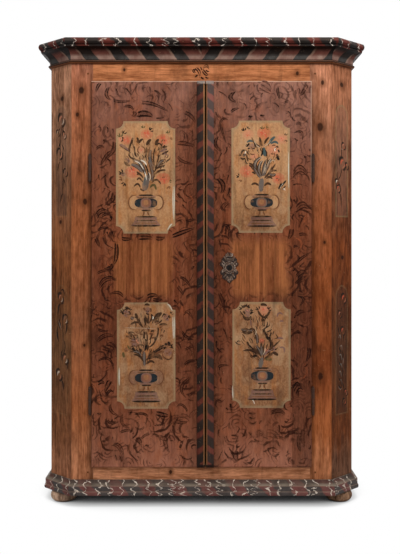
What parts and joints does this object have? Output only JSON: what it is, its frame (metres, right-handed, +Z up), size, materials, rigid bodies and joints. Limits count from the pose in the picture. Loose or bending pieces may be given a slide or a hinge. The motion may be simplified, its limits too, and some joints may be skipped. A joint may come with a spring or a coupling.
{
  "type": "painted cupboard",
  "caption": "Painted peasant cupboard with hinged plank doors, canted front corners, moulded cornice and base, bun feet, linen shelves, box lock and slide bolts.",
  "frame": {"origin": "on the floor, under the middle of the overall box", "axes": "+X to the right, +Y to the back, +Z up; the doors face -Y"},
  "size_m": [1.296, 0.528, 1.806],
  "materials": {
    "frame_wood": "aged varnished softwood",
    "door_paint": "worn red-brown paint with dark curls on softwood",
    "strip_paint": "black and red painted softwood",
    "cornice_paint": "black and red marbled paint on softwood",
    "base_paint": "black and red marbled paint on softwood",
    "foot_wood": "worn turned softwood",
    "bare_wood": "aged bare softwood",
    "peg_wood": "dark pegs flush with the frame",
    "hinge_iron": "dark forged iron",
    "lock_iron": "dark forged iron",
    "escutcheon_brass": "tarnished pressed brass"
  },
  "bodies": {
    "carcass": {"left_front_stile": "frame_wood", "right_front_stile": "frame_wood", "top_front_rail": "frame_wood", "bottom_front_rail": "frame_wood", "left_corner_board": "frame_wood", "right_corner_board": "frame_wood", "left_side_board": "frame_wood", "right_side_board": "frame_wood", "back_board_left": "bare_wood", "back_board_middle_left": "bare_wood", "back_board_middle_right": "bare_wood", "back_board_right": "bare_wood", "floor_board": "bare_wood", "top_board": "bare_wood", "lower_shelf": "bare_wood", "middle_shelf": "bare_wood", "upper_shelf": "bare_wood", "shelf_cleats": "bare_wood", "cornice_rear_rail": "bare_wood", "base_rear_rail": "bare_wood", "front_left_foot": "foot_wood", "front_right_foot": "foot_wood", "rear_left_foot": "foot_wood", "rear_right_foot": "foot_wood", "frame_pegs": "peg_wood", "back_board_nails": "lock_iron", "left_hinge_frame_leaves": "hinge_iron", "right_hinge_frame_leaves": "hinge_iron", "hinge_pins": "hinge_iron", "cornice_left_side": "cornice_paint", "cornice_left_corner": "cornice_paint", "cornice_front": "cornice_paint", "cornice_right_corner": "cornice_paint", "cornice_right_side": "cornice_paint", "base_left_side": "base_paint", "base_left_corner": "base_paint", "base_front": "base_paint", "base_right_corner": "base_paint", "base_right_side": "base_paint"},
    "left_door": {"left_door_wide_board": "door_paint", "left_door_narrow_board": "door_paint", "left_door_lower_batten": "bare_wood", "left_door_upper_batten": "bare_wood", "left_meeting_strip": "strip_paint", "left_hinge_door_leaves": "hinge_iron", "bolt_plates": "lock_iron", "lock_keeper": "lock_iron"},
    "right_door": {"right_door_wide_board": "door_paint", "right_door_narrow_board": "door_paint", "right_door_lower_batten": "bare_wood", "right_door_upper_batten": "bare_wood", "right_meeting_strip": "strip_paint", "right_hinge_door_leaves": "hinge_iron", "escutcheon": "escutcheon_brass", "escutcheon_nails": "escutcheon_brass", "lock_case": "lock_iron", "lock_spring": "lock_iron"},
    "lock_bolt": {"lock_bolt": "lock_iron"},
    "upper_slide_bolt": {"upper_slide_bolt": "lock_iron"},
    "lower_slide_bolt": {"lower_slide_bolt": "lock_iron"}
  },
  "joints": [
    {"name": "left_door_swing", "type": "hinge", "parent": "carcass", "child": "left_door", "pos_m": [-0.433, -0.222, 0.8565], "axis": [0, 0, -1], "range_deg": [0, 170]},
    {"name": "right_door_swing", "type": "hinge", "parent": "carcass", "child": "right_door", "pos_m": [0.433, -0.222, 0.8565], "axis": [0, 0, 1], "range_deg": [0, 170]},
    {"name": "lock_bolt_slide", "type": "slide", "parent": "right_door", "child": "lock_bolt", "axis": [-1, 0, 0], "range_m": [0, 0.016]},
    {"name": "upper_bolt_slide", "type": "slide", "parent": "left_door", "child": "upper_slide_bolt", "axis": [0, 0, 1], "range_m": [0, 0.022]},
    {"name": "lower_bolt_slide", "type": "slide", "parent": "left_door", "child": "lower_slide_bolt", "axis": [0, 0, -1], "range_m": [0, 0.022]}
  ]
}
